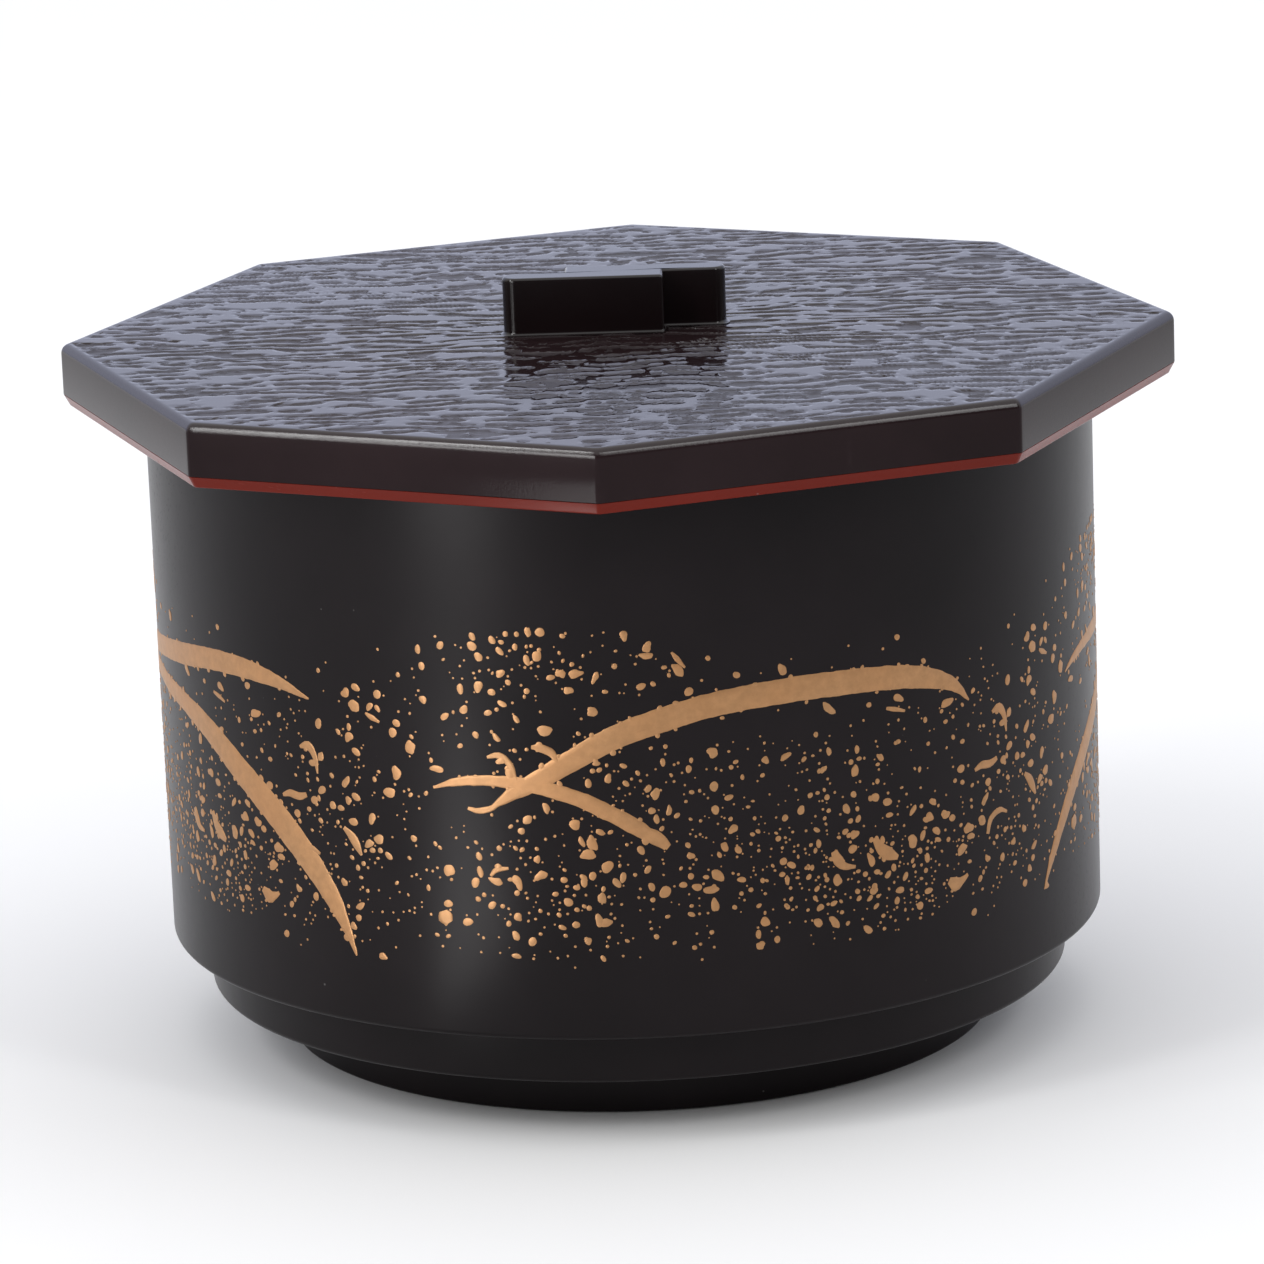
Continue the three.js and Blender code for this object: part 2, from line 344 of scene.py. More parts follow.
def smooth_step(low, high, value):
    """0 below low, 1 above high and an S-curve between."""
    t = np.clip((value - low) / (high - low), 0, 1)
    return t * t * (3 - 2 * t)


# ---- Shader helpers --------------------------------------------------------------------------

def add_node(tree, kind, settings=None, **inputs):
    """A node with its settings and inputs. An input that is a socket is linked."""
    node = tree.nodes.new(kind)
    for key, value in (settings or {}).items():
        setattr(node, key, value)
    for key, value in inputs.items():
        socket = node.inputs[int(key[1:])] if key[0] == "i" and key[1:].isdigit() else node.inputs[
            key.replace("_", " ")]
        if isinstance(value, bpy.types.NodeSocket):
            tree.links.new(value, socket)
        else:
            socket.default_value = value
    return node


def group_with(name, inputs, outputs):
    """An empty shader group with float inputs and the named outputs: (tree, its input node)."""
    tree = bpy.data.node_groups.new(name, "ShaderNodeTree")
    for label, default in inputs:
        socket = tree.interface.new_socket(label, in_out="INPUT", socket_type="NodeSocketFloat")
        socket.default_value = default
    for label in outputs:
        tree.interface.new_socket(label, in_out="OUTPUT", socket_type="NodeSocketFloat")
    return tree, tree.nodes.new("NodeGroupInput")


def close_group(tree, **outputs):
    """Links sockets to the group's outputs."""
    node = tree.nodes.new("NodeGroupOutput")
    for key, socket in outputs.items():
        tree.links.new(socket, node.inputs[key.replace("_", " ")])
    return tree


def noise(tree, vector, scale, detail=2.0, roughness=0.5):
    """The Fac output of a noise texture."""
    return add_node(tree, "ShaderNodeTexNoise", Vector=vector, Scale=scale, Detail=detail,
                    Roughness=roughness).outputs["Fac"]


def math_node(tree, operation, first, second=0.0, clamp=False):
    """The result of a Math node."""
    return add_node(tree, "ShaderNodeMath", {"operation": operation, "use_clamp": clamp},
                    i0=first, i1=second).outputs[0]


def remap(tree, value, low, high, to_low, to_high):
    """The result of a clamped Map Range node."""
    return add_node(tree, "ShaderNodeMapRange", Value=value, From_Min=low, From_Max=high,
                    To_Min=to_low, To_Max=to_high).outputs["Result"]


def object_coordinates(tree):
    """Object coordinates: the frame's own metres, which ride with each piece."""
    return tree.nodes.new("ShaderNodeTexCoord").outputs["Object"]


def lacquer_skin_group():
    """Flow ripples and uneven gloss, as on any sprayed lacquer."""
    tree, given = group_with("lacquer_skin", [
        ("Roughness", 0.3), ("Spread", 0.05), ("Ripple Scale", 220.0)], ["Roughness", "Height"])
    where = object_coordinates(tree)
    broad = noise(tree, where, 35.0, 3.0)
    fine = noise(tree, where, 900.0, 2.0)
    both = math_node(tree, "ADD", math_node(tree, "MULTIPLY", broad, 0.7),
                     math_node(tree, "MULTIPLY", fine, 0.3))
    swing = math_node(tree, "MULTIPLY", math_node(tree, "SUBTRACT", both, 0.5),
                      given.outputs["Spread"])
    rough = math_node(tree, "ADD", given.outputs["Roughness"],
                      math_node(tree, "MULTIPLY", swing, 2.0))
    ripple = noise(tree, where, given.outputs["Ripple Scale"], 2.0)
    return close_group(tree, Roughness=rough, Height=ripple)


def dust_group():
    """Sparse specks of dust, gathered in loose clumps."""
    tree, given = group_with("dust_specks", [("Amount", 0.5), ("Speck Scale", 420.0)], ["Mask"])
    where = object_coordinates(tree)
    cells = add_node(tree, "ShaderNodeTexVoronoi", {"feature": "F1"}, Vector=where,
                     Scale=given.outputs["Speck Scale"])
    size = remap(tree, add_node(tree, "ShaderNodeSeparateColor", Color=cells.outputs["Color"])
                 .outputs[0], 0.93, 1.0, 0.0, 0.07)
    speck = math_node(tree, "LESS_THAN", cells.outputs["Distance"], size)
    clumps = remap(tree, noise(tree, where, 60.0, 2.0), 0.45, 0.7, 0.15, 1.0)
    mask = math_node(tree, "MULTIPLY", math_node(tree, "MULTIPLY", speck, clumps),
                     given.outputs["Amount"], clamp=True)
    return close_group(tree, Mask=mask)


def edge_wear_group():
    """A mask over outer edges where the lacquer is rubbed thin."""
    tree, given = group_with("edge_wear", [("Amount", 0.5), ("Sharpness", 0.53)], ["Mask"])
    pointiness = tree.nodes.new("ShaderNodeNewGeometry").outputs["Pointiness"]
    edge = remap(tree, pointiness, given.outputs["Sharpness"], 0.62, 0.0, 1.0)
    broken = remap(tree, noise(tree, object_coordinates(tree), 500.0, 4.0), 0.42, 0.62, 0.1, 1.0)
    mask = math_node(tree, "MULTIPLY", math_node(tree, "MULTIPLY", edge, broken),
                     given.outputs["Amount"], clamp=True)
    return close_group(tree, Mask=mask)


def scratches_group():
    """Hairline wiping marks, as a height that is mostly flat."""
    tree, given = group_with("wiping_marks", [("Amount", 0.5)], ["Height", "Mask"])
    where = object_coordinates(tree)
    heights = []
    for tilt, stretch in ((0.35, 30.0), (-0.6, 24.0)):
        turned = add_node(tree, "ShaderNodeMapping", Vector=where, Rotation=(0.3, tilt, tilt),
                          Scale=(stretch, 1400.0, 1400.0)).outputs[0]
        heights.append(remap(tree, noise(tree, turned, 1.0, 1.0), 0.66, 0.72, 0.0, 1.0))
    lines = math_node(tree, "MAXIMUM", heights[0], heights[1])
    patch = remap(tree, noise(tree, where, 28.0, 1.0), 0.5, 0.65, 0.0, 1.0)
    mask = math_node(tree, "MULTIPLY", math_node(tree, "MULTIPLY", lines, patch),
                     given.outputs["Amount"], clamp=True)
    return close_group(tree, Height=math_node(tree, "MULTIPLY", mask, -1.0), Mask=mask)


def effect(name, builder):
    """The shared effect group, built the first time it is asked for."""
    return bpy.data.node_groups.get(name) or builder()


def place_group(tree, group, **inputs):
    """A group node with its own values."""
    node = tree.nodes.new("ShaderNodeGroup")
    node.node_tree = group
    for key, value in inputs.items():
        node.inputs[key.replace("_", " ")].default_value = value
    return node


def blend_colour(tree, mask, first, second):
    """A colour mix by mask."""
    node = add_node(tree, "ShaderNodeMix", {"data_type": "RGBA"})
    sockets = [s for s in node.inputs if s.enabled]
    for socket, value in zip(sockets, (mask, first, second)):
        if isinstance(value, bpy.types.NodeSocket):
            tree.links.new(value, socket)
        else:
            socket.default_value = value if isinstance(value, float) else (*value[:3], 1.0)
    return next(s for s in node.outputs if s.enabled)


def bump(tree, height, strength, distance, normal=None):
    """The Normal output of a Bump node, on top of another normal if one is given."""
    node = add_node(tree, "ShaderNodeBump", Height=height, Strength=strength, Distance=distance)
    if normal is not None:
        tree.links.new(normal, node.inputs["Normal"])
    return node.outputs["Normal"]


def new_material(name):
    """An empty node material: (material, tree, its Principled shader)."""
    material = bpy.data.materials.new(name)
    material.use_nodes = True
    return material, material.node_tree, material.node_tree.nodes["Principled BSDF"]


def lacquer(name, base, roughness, specular=0.5, ripple=0.012, wear=0.25, depth_tint=0.35,
            grit=0.0):
    """Lacquer over a moulded body: base colour, gloss, dust, worn edges and wiping marks.
    A finish whose gloss changes over the surface links it itself and gives no specular."""
    dust, wear_tint = 0.35, 2.2
    material, tree, shader = new_material(name)
    skin = place_group(tree, effect("lacquer_skin", lacquer_skin_group), Roughness=roughness,
                       Spread=0.06, Ripple_Scale=240.0)
    specks = place_group(tree, effect("dust_specks", dust_group), Amount=dust, Speck_Scale=420.0)
    edges = place_group(tree, effect("edge_wear", edge_wear_group), Amount=wear, Sharpness=0.52)
    marks = place_group(tree, effect("wiping_marks", scratches_group), Amount=0.5)
    where = object_coordinates(tree)
    depth = remap(tree, noise(tree, where, 18.0, 4.0, 0.6), 0.3, 0.7, 0.0, 1.0)
    deep = [c * (1 - depth_tint) for c in base]
    light = [min(1.0, c * (1 + depth_tint)) for c in base]
    body = blend_colour(tree, depth, deep, light)
    worn = blend_colour(tree, edges.outputs["Mask"], body,
                        [min(1.0, c * wear_tint + 0.01) for c in base])
    dusty = blend_colour(tree, specks.outputs["Mask"], worn, (0.30, 0.29, 0.28))
    tree.links.new(dusty, shader.inputs["Base Color"])
    rough = math_node(tree, "ADD", skin.outputs["Roughness"],
                      math_node(tree, "MULTIPLY", marks.outputs["Mask"], 0.12), clamp=True)
    tree.links.new(rough, shader.inputs["Roughness"])
    normal = bump(tree, skin.outputs["Height"], ripple, 1.0 * MM)
    normal = bump(tree, marks.outputs["Height"], 0.05, 0.05 * MM, normal)
    if grit:
        normal = bump(tree, noise(tree, where, 2600.0, 2.0, 0.6), grit, 0.02 * MM, normal)
    tree.links.new(normal, shader.inputs["Normal"])
    shader.inputs["Specular IOR Level"].default_value = specular
    return material


def black_lacquer():
    """Satin near-black lacquer of the wall, band and foot."""
    return lacquer("satin_black", scene_colours().black, 0.30, 0.11)


def buff_upward(material, upright, upward):
    """Gloss that rises from upright faces to faces turned up, where hands polish them."""
    tree = material.node_tree
    facing = add_node(tree, "ShaderNodeSeparateXYZ",
                      Vector=tree.nodes.new("ShaderNodeNewGeometry").outputs["Normal"])
    tree.links.new(remap(tree, facing.outputs["Z"], 0.08, 0.55, upright, upward),
                   tree.nodes["Principled BSDF"].inputs["Specular IOR Level"])
    return material


def lid_lacquer():
    """Glossy brown-black lacquer of the skirt, buffed along its rounded top edge."""
    material = lacquer("gloss_brown_black", scene_colours().lid, 0.14, ripple=0.004, grit=0.5)
    return buff_upward(material, 0.075, 0.42)


def knob_lacquer():
    """The same lacquer on the knob, buffed brightest on top where fingers rest."""
    base = [c * 0.45 for c in scene_colours().lid]
    material = lacquer("polished_brown_black", base, 0.13, ripple=0.003, wear=0.15)
    return buff_upward(material, 0.12, 0.5)


def vermilion_lacquer():
    """Glossy vermilion lacquer of the band, the liner and the inside."""
    return lacquer("gloss_vermilion", scene_colours().vermilion, 0.22, 0.11, wear=0.0,
                   depth_tint=0.12)


def grained_lacquer():
    """Lid lacquer over the pressed grain. The mesh carries the broad grain, and the shader
    sharpens its edges and adds the hair-fine streaks on the rough sunk floor."""
    material = lacquer("grained_top", scene_colours().lid, 0.10, ripple=0.003)
    tree = material.node_tree
    shader = tree.nodes["Principled BSDF"]
    field = add_node(tree, "ShaderNodeAttribute", {"attribute_name": "grain"}).outputs["Fac"]
    where = object_coordinates(tree)
    broken = add_node(tree, "ShaderNodeMapping", Vector=where, Scale=(260.0, 1150.0, 1.0))
    finer = math_node(tree, "SUBTRACT", noise(tree, broken.outputs[0], 1.0, 1.0), 0.5)
    whole = math_node(tree, "ADD", field, math_node(tree, "MULTIPLY", finer, 0.40))
    sunk = remap(tree, whole, GRAIN_EDGE - 0.015, GRAIN_EDGE + 0.015, 0.0, 1.0)
    stretched = add_node(tree, "ShaderNodeMapping", Vector=where, Scale=(180.0, 1700.0, 1.0))
    fine = noise(tree, stretched.outputs[0], 1.0, 3.0, 0.6)
    streaks = math_node(tree, "MULTIPLY", remap(tree, fine, 0.35, 0.65, 0.0, 1.0), sunk)
    smooth = shader.inputs["Roughness"].links[0].from_socket
    rough = math_node(tree, "ADD", smooth, math_node(tree, "MULTIPLY", sunk, 0.24), clamp=True)
    tree.links.new(rough, shader.inputs["Roughness"])
    below = shader.inputs["Normal"].links[0].from_socket
    edges = bump(tree, math_node(tree, "MULTIPLY", sunk, -1.0), 1.0, 0.10 * MM, below)
    tree.links.new(bump(tree, streaks, 1.0, 0.05 * MM, edges), shader.inputs["Normal"])
    dull = remap(tree, streaks, 0.0, 1.0, 0.45, 0.26)
    tree.links.new(dull, shader.inputs["Specular IOR Level"])
    return material


def gold_paint():
    """Printed gold: mottled, slightly grained and not quite even in gloss."""
    material, tree, shader = new_material("gold_paint")
    gold = scene_colours().gold
    skin = place_group(tree, effect("lacquer_skin", lacquer_skin_group), Roughness=0.46,
                       Spread=0.12, Ripple_Scale=1500.0)
    where = object_coordinates(tree)
    mottle = remap(tree, noise(tree, where, 700.0, 4.0, 0.65), 0.35, 0.65, 0.0, 1.0)
    broad = remap(tree, noise(tree, where, 90.0, 3.0), 0.35, 0.65, 0.0, 1.0)
    toned = blend_colour(tree, mottle, [c * 0.86 for c in gold], [c * 1.08 for c in gold])
    warmed = blend_colour(tree, math_node(tree, "MULTIPLY", broad, 0.4), toned,
                          (gold[0] * 1.05, gold[1] * 0.93, gold[2] * 0.80))
    tree.links.new(warmed, shader.inputs["Base Color"])
    tree.links.new(skin.outputs["Roughness"], shader.inputs["Roughness"])
    tree.links.new(bump(tree, mottle, 0.10, 0.04 * MM), shader.inputs["Normal"])
    shader.inputs["Metallic"].default_value = 0.5
    return material


def studio_floor_paint():
    """Pale matt floor with the faintest unevenness."""
    material, tree, shader = new_material("studio_floor_paint")
    base = scene_colours().floor
    cloud = remap(tree, noise(tree, object_coordinates(tree), 3.0, 3.0), 0.3, 0.7, 0.0, 1.0)
    tree.links.new(blend_colour(tree, cloud, [c * 0.985 for c in base], base),
                   shader.inputs["Base Color"])
    shader.inputs["Roughness"].default_value = 0.9
    shader.inputs["Specular IOR Level"].default_value = 0.1
    return material


def finish(name, builder):
    """The material of that name, made the first time it is asked for."""
    return bpy.data.materials.get(name) or builder()


# ---- Scene properties ------------------------------------------------------------------------

def bowl_sizes():
    return bpy.context.scene.rice_bowl_sizes


def lid_sizes():
    return bpy.context.scene.rice_bowl_lid_sizes


def scene_colours():
    return bpy.context.scene.rice_bowl_colours


def stage_settings():
    return bpy.context.scene.rice_bowl_stage


# ---- Bowl ------------------------------------------------------------------------------------

def wall_radius(z):
    """Outside radius of the bowl's wall at a height."""
    s = bowl_sizes()
    share = (z - s.band_top) / (s.height - s.band_top)
    return s.low_radius + (s.top_radius - s.low_radius) * share


class RICEBOWL_OT_bowl(bpy.types.Operator):
    """Build the round bowl with its stepped foot"""

    bl_idname = "ricebowl.bowl"
    bl_label = "Bowl"
    around = 288

    def execute(self, context):
        s = bowl_sizes()
        foot_inside = s.foot_radius - s.foot_wall
        recess_top = s.floor - s.floor_thickness
        lip = s.wall / 2
        foot_edge = 0.5 * MM
        nick = 0.25 * MM
        step = s.step_rounding
        outside = [
            *arc(foot_inside - s.recess_corner, recess_top - s.recess_corner, s.recess_corner,
                 90, 0, 6),
            *arc(foot_inside + foot_edge, foot_edge, foot_edge, 180, 270, 4),
            *arc(s.foot_radius - foot_edge, foot_edge, foot_edge, 270, 360, 4),
            (s.foot_radius, s.foot_height - nick),
            (s.foot_radius + nick, s.foot_height),
            *arc(s.band_radius - step, s.foot_height + step, step, 270, 360, 8),
            (s.band_radius, s.band_top - nick),
            (s.band_radius + nick, s.band_top),
            *arc(s.low_radius - step, s.band_top + step, step, 270, 360, 8),
            *arc(s.top_radius - lip, s.height - lip, lip, 0, 150, 10),
        ]
        hollow_low = s.low_radius - s.wall
        inside = [
            (s.top_radius - s.wall, s.height - lip),
            *arc(hollow_low - s.hollow_corner, s.floor + s.hollow_corner, s.hollow_corner,
                 360, 270, 16),
            (30 * MM, s.floor),
            (8 * MM, s.floor),
        ]
        angles = np.linspace(0, 2 * math.pi, self.around, endpoint=False)
        loops = [circle_loop(r, z, angles) for r, z in outside + inside]
        bands = [0] * len(outside) + [1] * (len(inside) + 1)
        piece = loft("bowl_shell", loops,
                     [finish("satin_black", black_lacquer),
                      finish("gloss_vermilion", vermilion_lacquer)], bands)
        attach(piece, "bowl")
        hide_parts("bowl_body")
        return {"FINISHED"}


# ---- Gold decoration -------------------------------------------------------------------------

def on_wall(angle_degrees, height_mm, lift_mm):
    """A point that stands proud of the wall by lift_mm."""
    z = height_mm * MM
    radius = wall_radius(z) + lift_mm * MM
    angle = math.radians(angle_degrees)
    return (radius * math.sin(angle), -radius * math.cos(angle), z)


# The lift of a printed piece's hidden underside, which sits just inside the wall.
BEDDED_MM = -0.06


def degree_mm():
    """Length on the wall of one degree, in millimetres."""
    return math.radians(1.0) * bowl_sizes().top_radius / MM


def smooth_path(points, spacing_mm):
    """A Catmull-Rom curve through (angle, height, width) points, at about that spacing."""
    points = np.array(points, float)
    padded = np.concatenate([[2 * points[0] - points[1]], points, [2 * points[-1] - points[-2]]])
    arc_mm = degree_mm()
    path = []
    for p0, p1, p2, p3 in zip(padded, padded[1:], padded[2:], padded[3:]):
        span = math.hypot((p2[0] - p1[0]) * arc_mm, p2[1] - p1[1])
        for t in np.linspace(0, 1, max(2, round(span / spacing_mm)), endpoint=False):
            path.append(0.5 * (2 * p1 + (p2 - p0) * t + (2 * p0 - 5 * p1 + 4 * p2 - p3) * t ** 2
                               + (3 * p1 - p0 - 3 * p2 + p3) * t ** 3))
    path.append(points[-1])
    return np.array(path)


def blade_mesh(name, points, seed):
    """One printed blade: a thin raised strip that follows the wall, with slightly uneven edges."""
    spacing = 0.5
    path = smooth_path(points, spacing)
    arc_mm = degree_mm()
    flat = np.stack([path[:, 0] * arc_mm, path[:, 1]], 1)
    along = np.gradient(flat, axis=0)
    along /= np.linalg.norm(along, axis=1, keepdims=True)
    across = np.stack([-along[:, 1], along[:, 0]], 1)
    run = np.arange(len(path)) * spacing
    half_width = np.maximum(path[:, 2] / 2, 0.05)
    shares = (-1.0, -0.93, -0.5, 0.0, 0.5, 0.93, 1.0)
    lifts = (0.0, 0.045, 0.06, 0.065, 0.06, 0.045, 0.0)
    rows = []
    for side, lift in zip(shares, lifts):
        ragged = 0.10 * (lattice_noise(run * 0.9, run * 0, seed + (side > 0)) - 0.5)
        ragged += 0.07 * (lattice_noise(run * 2.3, run * 0, seed + 7 + (side > 0)) - 0.5)
        offset = flat + across * (side * (half_width + ragged * abs(side)))[:, None]
        rows.append([on_wall(u / arc_mm, z, lift) for u, z in offset])
    under = []
    for side in (1.0, -1.0):
        offset = flat + across * (side * half_width * 0.98)[:, None]
        under.append([on_wall(u / arc_mm, z, BEDDED_MM) for u, z in offset])
    sections = np.array(rows + under).transpose(1, 0, 2)
    return loft(name, sections[:, ::-1], [finish("gold_paint", gold_paint)], crease=60.0)


def all_blades():
    """Every blade by name, with the crossing pair again on the far side."""
    crossing = {**FRONT_BLADES, **CROSSING_HOOKS}
    back = {f"{name}_back": [(a + 180, z, w) for a, z, w in points]
            for name, points in crossing.items()}
    return {**crossing, **LEFT_BLADES, **RIGHT_BLADES, **back}


class RICEBOWL_OT_blades(bpy.types.Operator):
    """Lay the printed gold grass blades on the wall"""

    bl_idname = "ricebowl.blades"
    bl_label = "Gold blades"

    def execute(self, context):
        for number, (name, points) in enumerate(all_blades().items()):
            piece = blade_mesh(f"gold_blade_{name}", points, 40 + number * 3)
            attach(piece, "bowl")
        return {"FINISHED"}


def splash_weight(angle, z):
    """How likely a splash is at that place on the wall."""
    total = 0.0
    for centre, height, wide, tall, weight in SPLASH_PATCHES:
        half = SPLASH_REPEAT / 2
        away = (angle - centre + half) % SPLASH_REPEAT - half
        total += weight * math.exp(-0.5 * ((away / wide) ** 2 + ((z - height) / tall) ** 2))
    low_edge = 27.5 + 1.2 * math.sin(math.radians(angle * 12)) + math.sin(math.radians(angle * 28))
    return total * float(smooth_step(low_edge - 1.5, low_edge + 1.5, z))


def splash_outline(rng, size, stretch, lumps, count):
    """A round, oval or lumpy outline in millimetres."""
    turn = rng.uniform(0, math.pi)
    a = np.linspace(0, 2 * math.pi, count, endpoint=False)
    wave = rng.uniform(-1, 1, 6) * lumps
    r = size * (1 + wave[0] * np.cos(2 * a) + wave[1] * np.sin(2 * a) + wave[2] * np.cos(3 * a)
                + wave[3] * np.sin(3 * a) + 0.6 * wave[4] * np.cos(5 * a)
                + 0.6 * wave[5] * np.sin(4 * a))
    x, y = r * np.cos(a) * math.sqrt(stretch), r * np.sin(a) / math.sqrt(stretch)
    return np.stack([x * math.cos(turn) - y * math.sin(turn),
                     x * math.sin(turn) + y * math.cos(turn)], 1)


class RICEBOWL_OT_splashes(bpy.types.Operator):
    """Scatter the printed gold splashes round the wall"""

    bl_idname = "ricebowl.splashes"
    bl_label = "Gold splashes"
    per_sheet = 1350
    speck_points = 7
    lowest_mm, highest_mm = 25.5, 75.5
    densest = 2.2
    least_gap_mm, small_mm, overlap_share = 0.12, 0.3, 0.22
    # Share of the drops, least and most radius in mm, most stretch, lumpiness, outline points.
    kinds = (
        (0.55, 0.11, 0.24, 1.15, 0.03, speck_points),
        (0.25, 0.22, 0.43, 1.5, 0.04, 9),
        (0.13, 0.40, 0.68, 1.8, 0.05, 12),
        (0.07, 0.50, 0.90, 2.1, 0.12, 16),
    )

    def sheet_drops(self):
        """Places and outlines of one sheet's drops: (angle, height, outline)."""
        rng = np.random.default_rng(20)
        shares = [kind[0] for kind in self.kinds]
        arc_mm = degree_mm()
        taken = []
        placed = []
        while len(placed) < self.per_sheet:
            angle = rng.uniform(-30, -30 + SPLASH_REPEAT)
            z = rng.uniform(self.lowest_mm, self.highest_mm)
            if rng.random() > splash_weight(angle, z) / self.densest:
                continue
            _, least, most, stretch, lumps, count = self.kinds[rng.choice(len(shares), p=shares)]
            size = rng.uniform(least, most)
            crowd = np.array(taken or [(0.0, -100.0, 0.0)])
            gaps = np.hypot((crowd[:, 0] - angle) * arc_mm, crowd[:, 1] - z) - crowd[:, 2] - size
            crowded = gaps.min() < self.least_gap_mm
            if crowded and (size < self.small_mm or rng.random() > self.overlap_share):
                continue
            taken.append((angle, z, size))
            placed.append((angle, z, splash_outline(rng, size, rng.uniform(1, stretch), lumps,
                                                    count)))
        return placed

    def edge_drops(self):
        """Drops that sit on the edges of the blades and make them bumpy."""
        rng = np.random.default_rng(31)
        arc_mm = degree_mm()
        placed = []
        for points in all_blades().values():
            path = smooth_path(points, 1.3)
            along = np.gradient(path[:, :2] * (arc_mm, 1.0), axis=0)
            along /= np.linalg.norm(along, axis=1, keepdims=True)
            for (angle, z, width), (along_x, along_z) in zip(path, along):
                if width < 1.2 or rng.random() > 0.42:
                    continue
                reach = rng.choice((-1, 1)) * (width / 2 + rng.uniform(-0.15, 0.2))
                size = rng.uniform(0.18, 0.48)
                placed.append((angle - along_z * reach / arc_mm, z + along_x * reach,
                               splash_outline(rng, size, rng.uniform(1, 1.5), 0.06, 10)))
        return placed

    def drops_piece(self, name, drops):
        """One piece from many drops, each a thin closed cushion on the wall."""
        arc_mm = degree_mm()
        vertices, faces = [], []
        for angle, z, outline in drops:
            count = len(outline)
            rise = 0.030 + 0.002 * count
            rings = [(1.0, BEDDED_MM), (0.92, rise)]
            if count > self.speck_points:
                rings = [(1.0, BEDDED_MM), (1.0, rise * 0.5), (0.85, rise)]
            base = len(vertices)
            for share, lift in rings:
                vertices += [on_wall(angle + x * share / arc_mm, z + y * share, lift)
                             for x, y in outline]
            vertices += [on_wall(angle, z, BEDDED_MM), on_wall(angle, z, rise)]
            last = base + (len(rings) - 1) * count
            under, top = last + count, last + count + 1
            for i in range(count):
                j = (i + 1) % count
                faces.append((under, base + j, base + i))
                for ring in range(base, last, count):
                    faces.append((ring + i, ring + j, ring + count + j, ring + count + i))
                faces.append((last + i, last + j, top))
        piece = finished_mesh(name, vertices, faces, [finish("gold_paint", gold_paint)],
                              crease=60.0)
        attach(piece, "bowl")

    def execute(self, context):
        sheets = round(360 / SPLASH_REPEAT)
        drops = [(angle + turn * SPLASH_REPEAT, z, outline)
                 for turn in range(sheets) for angle, z, outline in self.sheet_drops()]
        small = [len(outline) <= self.speck_points for _, _, outline in drops]
        self.drops_piece("gold_specks", [d for d, speck in zip(drops, small) if speck])
        self.drops_piece("gold_splashes", [d for d, speck in zip(drops, small) if not speck])
        self.drops_piece("gold_edge_drops", self.edge_drops())
        for number, points in enumerate(SPLASH_SLIVERS):
            for turn in range(sheets):
                turned = [(a + turn * SPLASH_REPEAT, z, w) for a, z, w in points]
                sliver = blade_mesh(f"gold_sliver_{number}_{turn}", turned, 90 + number)
                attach(sliver, "bowl")
        return {"FINISHED"}


# ---- Lid -------------------------------------------------------------------------------------

GRAIN_EDGE = 0.52
GRAIN_ROW_MM = 3.2


def grain_field(x_mm, y_mm):
    """The pressed grain: above GRAIN_EDGE the top is sunk, below it is the smooth network."""
    x = x_mm + 1.4 * (lattice_noise(x_mm / 4, y_mm / 1.6, 4) - 0.5)
    y = y_mm + 0.9 * (lattice_noise(x_mm / 16, y_mm / 9, 3) - 0.5)
    drift = lattice_noise(x / 9, y / 4.5, 5) - 0.5
    rows = 0.5 + 0.5 * np.sin(2 * math.pi * (y / GRAIN_ROW_MM + 1.5 * drift))
    patches = 0.34 * rows + 0.36 * lattice_noise(x / 4.2, y / 1.35, 6)
    patches += 0.30 * lattice_noise(x / 2.0, y / 0.9, 7)
    posts = smooth_step(0.60, 0.72, lattice_noise(x / 1.3, y / GRAIN_ROW_MM, 9))
    return patches - 0.16 * posts


class RICEBOWL_OT_cap(bpy.types.Operator):
    """Build the lid's cap with its grained top"""

    bl_idname = "ricebowl.cap"
    bl_label = "Lid cap"
    rings = 112

    def execute(self, context):
        s = lid_sizes()
        top, low = CAP_HIGH.z, CAP_LOW.z
        along_flat, round_corner = 86, 8

        def outline(corner, rounding):
            return octagon_outline(corner, rounding, along_flat, round_corner)

        inside = s.corner - s.skirt_wall / EIGHTH
        edge = s.edge_rounding
        nick = 0.15 * MM
        plate_under = top - s.plate
        inner_rounding = 0.6 * MM
        inner = outline(inside, inner_rounding)
        loops = [at_height(inner * 0.3, plate_under), at_height(inner, plate_under),
                 at_height(inner, low)]
        for step in (90, 45, 0):
            a = math.radians(step)
            loops.append(at_height(outline(s.corner - nick + nick * math.cos(a), s.corner_rounding),
                                   low + nick - nick * math.sin(a)))
        for a in np.radians(np.linspace(0, 90, 9)):
            loops.append(at_height(
                outline(s.corner - edge + edge * math.cos(a), s.corner_rounding),
                top - edge + edge * math.sin(a)))
        smooth_bands = len(loops)
        flat = outline(s.corner - edge, s.corner_rounding)
        border = 0.5 * MM
        grain = []
        for share in np.linspace(1, 0.012, self.rings)[1:]:
            ring = flat * share
            from_edge = (1 - share) * (s.corner - edge) * EIGHTH
            fade = float(smooth_step(0.0, border, from_edge))
            grain.append(grain_field(ring[:, 0] / MM, ring[:, 1] / MM) * fade)
            sunk = s.grain_depth * smooth_step(GRAIN_EDGE - 0.03, GRAIN_EDGE + 0.05, grain[-1])
            loops.append(np.concatenate([ring, (top - sunk)[:, None]], 1))
        bands = [0] * smooth_bands + [1] * (len(loops) - smooth_bands + 1)
        piece = loft("lid_cap_shell", loops,
                     [finish("gloss_brown_black", lid_lacquer),
                      finish("grained_top", grained_lacquer)],
                     bands, crease=50.0, grain=grain)
        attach(piece, "lid")
        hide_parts("lid_cap")
        return {"FINISHED"}


